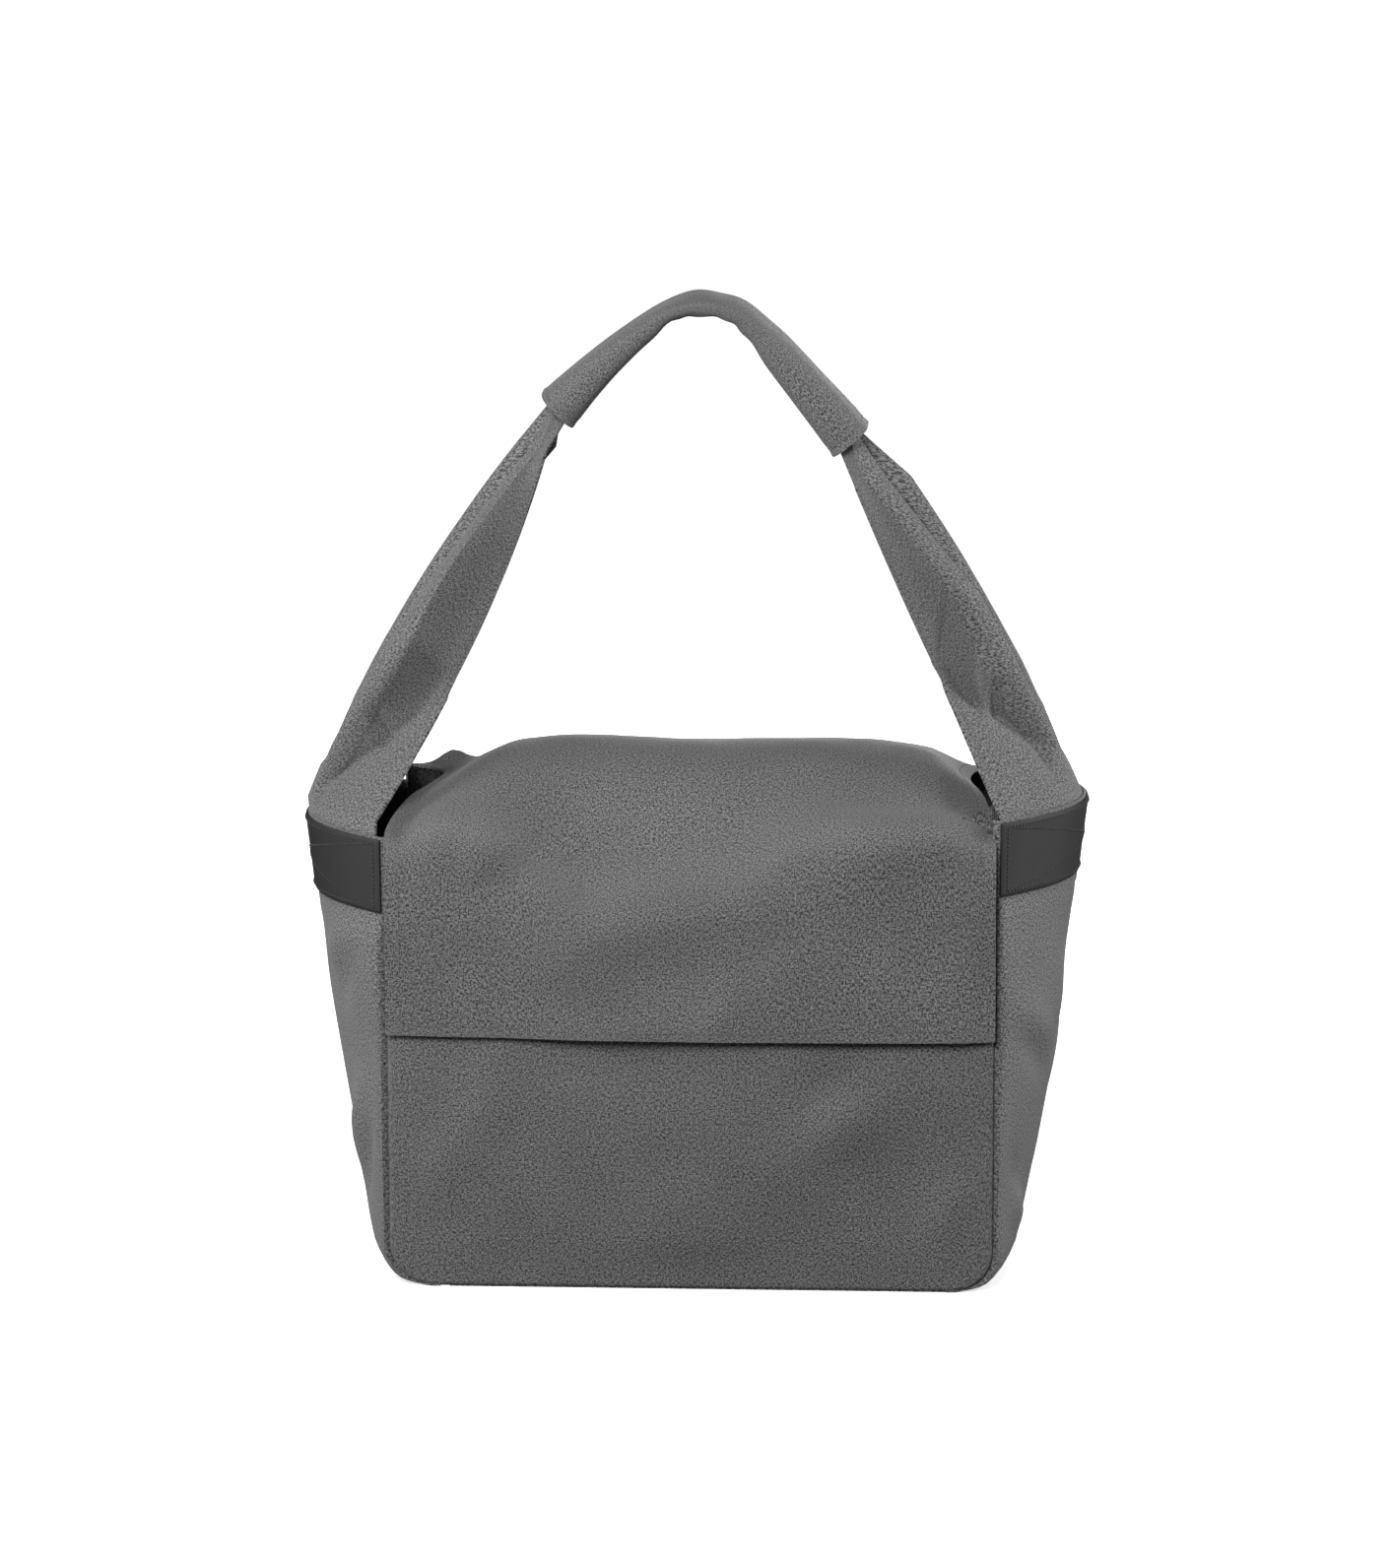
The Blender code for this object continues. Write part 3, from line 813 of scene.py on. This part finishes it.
class BandOperator(bpy.types.Operator):
    """Leather bands round the tops of the gussets, with their stitching"""
    bl_idname = "mailbag.bands"
    bl_label = "Leather bands"

    def execute(self, context):
        size = sizes()
        reach = 1 - 2.2 * MM / size.mouth_depth
        for name, side in SIDES.items():
            gusset, chart = gusset_surface(side)
            start, end = 1 * MM, 1 * MM + size.band
            sign = 1 if normal_at(gusset, 0, 20 * MM).x * side > 0 else -1

            def skin(v, u, gusset=gusset, sign=sign, start=start, end=end):
                edge = min(u - start, end - u)
                crown = 0.7 * MM * (1 - (1 - clamp(edge / (2.2 * MM))) ** 2)
                lift = 0.3 * MM + size.leather * 0.6 + crown
                return raised(gusset, lift, sign)(v * reach, u)

            made = cloth(f"{name}_band_leather", skin, edged(-1, 1, 48, (6, 14, 26)),
                         edged(start, end, 14, (0.5, 1.1, 2.0)), size.leather, "plated leather",
                         (0, 0, 0.25), chart)
            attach(made, "bag")
            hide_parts(f"{name}_band")
            inset = 3.2 * MM
            low, high = start + inset, end - inset
            corner = 0.965
            rows = [[(v, u) for v in spread(-corner, corner, 24)] for u in (low, high)]
            rows += [[(v, u) for u in spread(low, high, 4)] for v in (-corner, corner)]
            for first, last in ((low, high), (high, low)):
                rows.append([(v, first + (last - first) * (v + corner) / (2 * corner))
                             for v in spread(-corner, corner, 24)])
            made = stitched(f"{name}_band_stitching", skin, rows, sign, 2.9 * MM, 1.2 * MM,
                            "black sewing thread")
            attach(made, "bag")
        return {"FINISHED"}


# Sections of the flap across its width: place across, height of its ridge and of its front fold, in mm
FLAP_SECTIONS = [(-200, 321, 303), (-178, 328, 306), (-158, 339, 311), (-135, 347.5, 309), (-112, 350.5, 298),
                 (-90, 351, 281), (-68, 351, 271), (-40, 351, 274), (0, 351, 278), (35, 351, 287),
                 (73, 351, 305), (105, 351, 318), (140, 350, 321), (165, 345.5, 319), (182, 337, 311),
                 (200, 326, 304)]
# How far the flap's left and right edges are drawn in, as a share, from the hinge to the hem
DRAWN_IN = [(0, 0), (0.10, 0.05), (0.145, 0.085), (0.115, 0.095), (0.06, 0.055), (0.028, 0.026),
            (0.008, 0.010), (0, 0.002), (0, 0), (0, 0), (0, 0), (0, 0)]

FLAP_FOLDS = [
    # start, end, width and height in metres, on the flap seen from the front
    ((-0.042, 0.318), (-0.145, 0.277), 0.016, -0.0050),
    ((-0.150, 0.300), (-0.112, 0.292), 0.022, 0.0040),
    ((-0.100, 0.236), (0.090, 0.278), 0.022, 0.0040),
    ((0.090, 0.278), (0.172, 0.306), 0.018, 0.0030),
    ((-0.060, 0.205), (0.020, 0.215), 0.030, -0.0040),
    ((0.060, 0.340), (0.185, 0.328), 0.011, -0.0075),
    ((0.085, 0.300), (0.178, 0.316), 0.015, 0.0045),
    ((0.100, 0.250), (0.180, 0.225), 0.028, -0.0030),
    ((0.010, 0.176), (0.030, 0.205), 0.012, 0.0020),
    ((-0.197, 0.317), (-0.183, 0.309), 0.009, -0.0085),
]


def flap_outline(x, place):
    """A point of the flap's section at a place across, (y, z) in metres."""
    across = [station[0] for station in FLAP_SECTIONS]
    first = 0
    while first < len(across) - 2 and x / MM > across[first + 1]:
        first += 1
    share = clamp((x / MM - across[first]) / (across[first + 1] - across[first]))
    levels = [(station[1], station[2]) for station in FLAP_SECTIONS]
    ridge, fold = through(levels, first + share)
    rise, drop, run = ridge - 317, ridge - fold - 8, fold - 186.2
    # the hanging run stands clear of the bag except near its left edge
    clear = 6 * (1 - (x / MM / 200) ** 2)
    clear += 3 * ease(x, -130 * MM, -70 * MM) * (1 - ease(x, 175 * MM, 200 * MM))
    outline = [(94.5, 317), (76, 317 + 0.45 * rise), (50, 317 + 0.85 * rise), (18, ridge),
               (-16, ridge - 0.10 * drop), (-48, ridge - 0.38 * drop), (-74, ridge - 0.76 * drop),
               (-90, fold + 5), (-96.5, fold - 12), (-95.5 - clear * 0.5, fold - 12 - 0.33 * run),
               (-92.5 - clear * 0.9, fold - 12 - 0.66 * run), (-90.5 - clear, 174.2)]
    return through(outline, place) * MM


def flap_surface(lift=0.0, inset=0.0):
    """The flap over its cut: x across and b from 0 at the hinge to 1 at the hem."""

    def surface(x, b):
        size = sizes()
        x *= 1 - inset / size.half_width
        place = b * (len(DRAWN_IN) - 1)
        y, z = flap_outline(x, place)
        before, after = flap_outline(x, place - 0.1), flap_outline(x, place + 0.1)
        out = Vector((after.y - before.y, before.x - after.x)).normalized()
        drawn = through(DRAWN_IN, place)[0 if x < 0 else 1] * abs(x / size.half_width) ** 1.5
        calm = ease(b, 0.05, 0.2) * (1 - 0.6 * ease(b, 0.93, 1.0))
        calm *= 0.3 + 0.7 * clamp((size.half_width - abs(x)) / 0.02)
        relief = creases(x, z, FLAP_FOLDS) * ease(b, 0.25, 0.45) + unrest(x, 5, b * 0.4, 0.07, 2.4 * MM)
        relief += unrest(x, 9, b * 0.4, 0.025, 0.5 * MM)
        ear = 9 * MM * bell(x, -172 * MM, 9 * MM) * bell(b, 0.03, 0.05)
        relief = relief * calm + ear + lift
        return Vector((x * (1 - drawn), y + out.x * relief, z + out.y * relief))

    return surface


# The flap's cut from hinge to hem, and its cloth's thickness in thicknesses of the canvas
FLAP_RUN = 0.365
FLAP_WEIGHT = 1.35


def flap_chart(x, b):
    return x, b * FLAP_RUN


def fold_with_flap(piece):
    """Bakes the piece's placement into its mesh."""
    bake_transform(piece)


class FlapOperator(bpy.types.Operator):
    """The flap: a canvas sheet over the crown and down the front, its lining and its hem stitching"""
    bl_idname = "mailbag.flap"
    bl_label = "Flap"

    def execute(self, context):
        size = sizes()
        across = edged(-size.half_width, size.half_width, round(2 * size.half_width / (size.detail * MM)))
        along = [s / FLAP_RUN for s in edged(0, FLAP_RUN, 88)]
        top = flap_surface()
        made = cloth("flap_cloth", top, across, along, size.canvas * FLAP_WEIGHT, "heathered canvas", (0, 0, 0.2),
                     flap_chart)
        fold_with_flap(made)
        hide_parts("flap_top", "flap_drop")
        under = flap_surface(-size.canvas * FLAP_WEIGHT - 0.25 * MM, 9 * MM)
        made = cloth("flap_lining_cloth", under, spread(-size.half_width, size.half_width, 70),
                     spread(0.01, 0.972, 60), size.lining, "lining twill", (0, 0, 0.2), flap_chart)
        fold_with_flap(made)
        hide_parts("flap_top_lining", "flap_drop_lining")
        side, hem = size.half_width - 9.5 * MM, 1 - 8 * MM / FLAP_RUN
        routes = [[(x, hem) for x in spread(-side, side, 60)]]
        routes += [[(x, b) for b in spread(0.03, hem, 70)] for x in (-side, side)]
        sign = 1 if normal_at(top, 0, 0.9).y < 0 else -1
        made = stitched("flap_hem_stitching", top, routes, sign, size.stitch, 0.75 * MM,
                        "grey sewing thread")
        fold_with_flap(made)
        return {"FINISHED"}


# Strap: base, middle and top values of its outer fold, its inner edges and its half depth
STRAP_RISE = 255 * MM
STRAP_OUTER = {"left": (258 * MM, 195.5 * MM, 111 * MM), "right": (258 * MM, 195 * MM, 108 * MM)}
STRAP_INNER = {"left": (207 * MM, 138 * MM, 100 * MM), "right": (207 * MM, 141 * MM, 86 * MM)}
STRAP_SWAY = 6 * MM
STRAP_CLOTH = 2 * MM
# Half the width that turns the folds' places into metres, and the cut of one leg
STRAP_SPAN = 0.07
ROOT_BOTTOM = 265 * MM
LEG_TOP = {"left": 552 * MM, "right": 532 * MM}

# Crest of the strap, (x, z) in millimetres, from the sleeve's left end to its right end
CREST = [(-90.5, 577), (-54.6, 613), (-17.5, 642), (7, 647), (31, 639), (57.2, 611), (101, 558)]
CREST_MIDDLE = 3


def crest_point(place):
    """A point of the crest and the direction out of it."""
    point = through(CREST, place)
    along = (through(CREST, place + 0.02) - through(CREST, place - 0.02)).normalized()
    return Vector((point.x, 0, point.y)) * MM, Vector((-along.y, 0, along.x))


# Height where a leg's flat upper part bends out to the gusset's rim, at its outer fold and inner edge, and
# the power of the curve between them
STRAP_BEND = {"left": (316 * MM, 386 * MM, 2.2), "right": (340 * MM, 398 * MM, 1.0)}

# Sharp creases of the strap: start and end (v, z in metres), reach above and below, and depth
STRAP_CREASES = {
    "left": [((-0.25, 0.322), (-0.72, 0.354), 0.040, 0.012, 0.0070),
             ((-0.66, 0.350), (-1.05, 0.392), 0.036, 0.010, 0.0070),
             ((0.10, 0.330), (1.05, 0.362), 0.030, 0.012, 0.0060)],
    "right": [((-1.10, 0.402), (-0.74, 0.382), 0.034, 0.006, 0.0100),
              ((-0.68, 0.376), (-0.31, 0.350), 0.028, 0.006, 0.0100),
              ((-0.42, 0.332), (-0.36, 0.350), 0.008, 0.003, 0.0035),
              ((-0.75, 0.325), (-0.70, 0.346), 0.008, 0.003, 0.0030),
              ((0.12, 0.342), (1.05, 0.372), 0.030, 0.010, 0.0060)],
}
STRAP_FOLDS = {
    "left": [((-0.80, 0.395), (-0.66, 0.470), 0.016, -0.0020), ((-0.45, 0.520), (-0.60, 0.440), 0.012, 0.0015),
             ((0.30, 0.430), (0.60, 0.380), 0.020, 0.0040)],
    "right": [((-0.75, 0.430), (-0.45, 0.480), 0.014, -0.0020), ((-0.30, 0.420), (-0.40, 0.520), 0.012, 0.0015),
              ((0.60, 0.430), (0.30, 0.390), 0.020, 0.0040)],
}
# Width of the strip of the rear half that shows outside the front half: height and width in mm
STRAP_STRIP = {"left": [(345, 0), (420, 3), (480, 7.5), (560, 11)],
               "right": [(340, 1.5), (455, 2), (490, 9.5), (535, 15)]}


def level_value(pairs, z):
    """A value that changes evenly between the heights of a list, in metres."""
    z /= MM
    for (low, before), (high, after) in zip(pairs, pairs[1:]):
        if z <= high:
            return (before + (after - before) * clamp((z - low) / (high - low))) * MM
    return pairs[-1][1] * MM


def sharp_crease(a, b, start, end, above, below, depth):
    """Height at a point of a crease that drops slowly from above and steeply from below."""
    run = Vector((end[0] - start[0], end[1] - start[1]))
    t = clamp(((a - start[0]) * run.x + (b - start[1]) * run.y) / run.length_squared, -0.1, 1.1)
    dx, dz = a - start[0] - run.x * t, b - start[1] - run.y * t
    reach = above if dz > 0 else below
    soft = math.sqrt(dx * dx + dz * dz + 1.2e-6)
    return -depth * math.exp(-soft / reach) * clamp((1.1 - abs(t - 0.5) * 2) * 4)


def strap_section(name, z, v):
    """A point of the folded strap on a level: v from -1 at the front edge to 1 at the rear edge."""
    size = sizes()
    side = SIDES[name]
    strip = level_value(STRAP_STRIP[name], z)
    share = max(z - size.height, 0) / STRAP_RISE
    outer, inner = three_point(STRAP_OUTER[name], share), three_point(STRAP_INNER[name], share)
    if z < size.height:
        outer -= 60 * MM * (1 - (z / size.height) ** 0.65)
    span = outer - inner
    q, sign = abs(v), 1 if v > 0 else -1
    arc_x, arc_y = outer - span * v * v, v * (half_depth(min(z, size.height)) - 9 * MM)
    # the two halves lie flat on each other, with a valley between their outer folds
    flat = 11 * MM + 13 * MM * clamp((z - 0.36) / 0.19)
    lean = 15 * MM * ease(z, 0.36, 0.43) * (1 - ease(z, 0.48, 0.55)) if name == "left" and v < 0 else 0.0
    lobe = strip if v < 0 else 0.0
    crest, turned = 0.16, 0.36
    wide, narrow = (17, 5) if name == "left" else (24, 14)
    corner = min((wide + (narrow - wide) * ease(z, 0.40, 0.49)) * MM, span * 0.42)
    if q < crest:
        t = q / crest
        dip = (9 * MM + strip * 0.5) * ease(z, 350 * MM, 440 * MM)
        fold_x = outer - lobe - (strip - lobe + dip) * (1 - t) ** 1.7
        fold_y = sign * (0.5 * MM + (4 + 4 * (v > 0)) * MM * t ** 1.6)
    elif q < turned:
        t = (q - crest) / (turned - crest) * math.pi / 2
        fold_x = outer - lobe - corner * (1 - math.cos(t))
        near = (4.5 + 4 * (v > 0)) * MM
        fold_y = sign * (near + (flat + lean - near) * math.sin(t))
    else:
        t = (q - turned) / (1 - turned)
        fold_x = outer - lobe - corner - (span - lobe - corner) * t
        fold_y = sign * (flat + lean * (1 - t) + 4 * MM * t ** 3)
    low, high, power = STRAP_BEND[name]
    bend, base = low + (high - low) * q ** power, rim(side * size.half_width) - 2 * MM
    folded = ease(z, base, bend + 25 * MM)
    narrowed = clamp((z - base) / (bend - base))
    x, y = arc_x + (fold_x - arc_x) * folded, arc_y + (fold_y - arc_y) * narrowed
    across = v * STRAP_SPAN
    relief = creases(across, z, in_metres(STRAP_FOLDS[name], STRAP_SPAN))
    relief += unrest(across, side, z, 0.05, 1.6 * MM, 4) * ease(z, size.height, size.height + 30 * MM)
    relief += sum(sharp_crease(across, z, *fold) for fold in in_metres(STRAP_CREASES[name], STRAP_SPAN))
    relief *= (1 - 0.5 * bell(q, crest, 0.1)) * (1 - 0.75 * ease(q, 0.82, 1.0))
    y += relief * sign * min(q * 2.5, 1.0)
    x += relief * (0.7 - 0.65 * ease(q, 0.2, 0.5))
    sway = STRAP_SWAY * clamp((z - size.height) / STRAP_RISE) ** 2
    return Vector((side * x + sway, y, z))


def strap_surface(name):
    """A leg of the strap: b counts levels up to 1, then follows the crest to 2 inside the sleeve."""
    side = SIDES[name]
    top = LEG_TOP[name]
    end = 0 if name == "left" else len(CREST) - 1

    def surface(v, b):
        if b <= 1:
            return strap_section(name, ROOT_BOTTOM + (top - ROOT_BOTTOM) * b, v)
        centre, out = crest_point(end + (CREST_MIDDLE - end) * (b - 1) * 0.97)
        width, depth, q = 7 * MM - 2.4 * MM * (b - 1), (9 + 11 * (1 - ease(b, 1, 1.3))) * MM, abs(v)
        reach = width - 2 * width * max(q - 0.14, 0) / 0.86 - width * 0.9 * (1 - clamp(q / 0.14))
        return centre + out * reach + Vector((0, math.copysign(depth * min(q / 0.42, 1) ** 0.7, v), 0))

    def chart(v, b):
        leg = min(b, 1) * (top - ROOT_BOTTOM) * 1.1
        inside = 0.026 * clamp((b - 1) / 0.02) + 0.13 * max(b - 1, 0)
        return v * (0.105 - 0.04 * min(b, 1)), leg + inside

    return surface, chart


class StrapOperator(bpy.types.Operator):
    """Both legs of the folded strap, from inside the gussets up into the sleeve"""
    bl_idname = "mailbag.strap"
    bl_label = "Strap"

    def execute(self, context):
        size = sizes()
        pivot = joint_place("strap_swing")
        start, end = (0, pivot[1], size.height + 10 * MM), (0, pivot[1], pivot[2] + 35 * MM)
        vs = [-1, -0.985, -0.96, -0.93] + spread(-0.88, -0.46, 16) + spread(-0.44, 0.44, 64)
        vs += spread(0.46, 0.88, 16) + [0.93, 0.96, 0.985, 1]
        levels = spread(0, 1, 132) + [1.02, 1.06] + spread(1.12, 2, 14)
        for name, side in SIDES.items():
            surface, chart = strap_surface(name)
            inward = Vector((-side * 3, 0, 0.3))
            made = cloth(f"{name}_strap_cloth", surface, vs, levels, STRAP_CLOTH, "heathered canvas", inward,
                         chart)
            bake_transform(made)
            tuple(start)
            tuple(end)
            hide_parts(f"{name}_strap", f"{name}_strap_root")
            sign = 1 if normal_at(surface, -0.6, 0.5).dot(Vector((side, -1, 0))) > 0 else -1
            routes = [[(v, b) for b in spread(0.2, 0.99, 60)] for v in (-0.95, 0.95)]
            made = stitched(f"{name}_strap_stitching", surface, routes, sign, size.stitch, 0.75 * MM,
                            "grey sewing thread")
            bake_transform(made)
            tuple(start)
            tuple(end)
        return {"FINISHED"}


# The sleeve's cut, and its half width and half depth in millimetres at places along the crest
SLEEVE_SIZES = [(15, 29), (9.7, 25), (6.2, 23), (7.0, 23), (6.9, 23), (11, 25), (15, 29)]


def sleeve_surface(angle, place):
    """The loose tube over the crest, slack and wrinkled on the inside of its bend."""
    centre, out = crest_point(place)
    width, depth = through(SLEEVE_SIZES, place) * MM
    below = max(-math.cos(angle), 0)
    bend = bell(place, 2.0, 0.45) + bell(place, 3.9, 0.6)
    wrinkle = math.sin(place * 9.5 + 1.5 * math.sin(angle)) * below * bend * 0.9 * MM
    twist = math.sin(place * 5 + angle * 2) * 0.3 * MM * bell(place, 3, 1.6)
    loose = unrest(math.cos(angle) * 0.02, math.sin(angle) * 0.02, place * 0.03, 0.02, 0.9 * MM, 8)
    rolled = 0.6 * MM * (bell(place, 0.12, 0.05) + bell(place, len(CREST) - 1.12, 0.05))
    reach = wrinkle + twist + loose - rolled
    side = Vector((0, math.copysign(abs(math.sin(angle)) ** 0.55, math.sin(angle)), 0))
    # the tube is pressed flat at the front and the rear
    high = math.copysign(abs(math.cos(angle)) ** 0.75, math.cos(angle))
    return centre + out * high * (width + reach) + side * (depth + reach)


class SleeveOperator(bpy.types.Operator):
    """The loose canvas sleeve over the strap's crest"""
    bl_idname = "mailbag.sleeve"
    bl_label = "Shoulder sleeve"

    def execute(self, context):
        angles = [2 * math.pi * k / 64 for k in range(64)]
        last = len(CREST) - 1
        centre = (0, 0, 0.6)

        def chart(angle, place):
            return angle * 25 * MM, place * 43 * MM

        made = cloth("shoulder_sleeve_cloth", sleeve_surface, angles, spread(0, last, 150), 1.3 * MM,
                     "heathered canvas", centre, chart, loops=True)
        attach(made, "strap")
        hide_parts("shoulder_sleeve")
        routes = [[(a, place) for a in spread(0, 2 * math.pi, 60)] for place in (0.13, last - 0.13)]
        sign = 1 if normal_at(sleeve_surface, 0, 3).z > 0 else -1
        made = stitched("sleeve_hem_stitching", sleeve_surface, routes, sign, sizes().stitch, 0.7 * MM,
                        "grey sewing thread")
        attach(made, "strap")
        return {"FINISHED"}


class MailBagPanel(bpy.types.Panel):
    """Lists the steps that build the bag"""
    bl_idname = "VIEW3D_PT_mail_bag"
    bl_label = "Mail bag"
    bl_space_type = "VIEW_3D"
    bl_region_type = "UI"
    bl_category = "Mail bag"

    def draw(self, context):
        for step in STEPS:
            self.layout.operator(step.bl_idname)
        for group in (context.scene.mail_bag_sizes, context.scene.mail_bag_colours):
            for name in group.bl_rna.properties.keys()[2:]:
                self.layout.prop(group, name)


STEPS = (StageOperator, BodyOperator, LiningOperator, BandOperator, FlapOperator, StrapOperator,
         SleeveOperator)
CLASSES = (MailBagSizes, MailBagColours, *STEPS, MailBagPanel)


def register():
    for item in CLASSES:
        bpy.utils.register_class(item)
    bpy.types.Scene.mail_bag_sizes = PointerProperty(type=MailBagSizes)
    bpy.types.Scene.mail_bag_colours = PointerProperty(type=MailBagColours)


def unregister():
    del bpy.types.Scene.mail_bag_colours
    del bpy.types.Scene.mail_bag_sizes
    for item in reversed(CLASSES):
        bpy.utils.unregister_class(item)


def main():
    register()
    bpy.ops.mailbag.stage()
    bpy.ops.mailbag.body()
    bpy.ops.mailbag.lining()
    bpy.ops.mailbag.bands()
    bpy.ops.mailbag.flap()
    bpy.ops.mailbag.strap()
    bpy.ops.mailbag.sleeve()


if __name__ == "__main__":
    main()
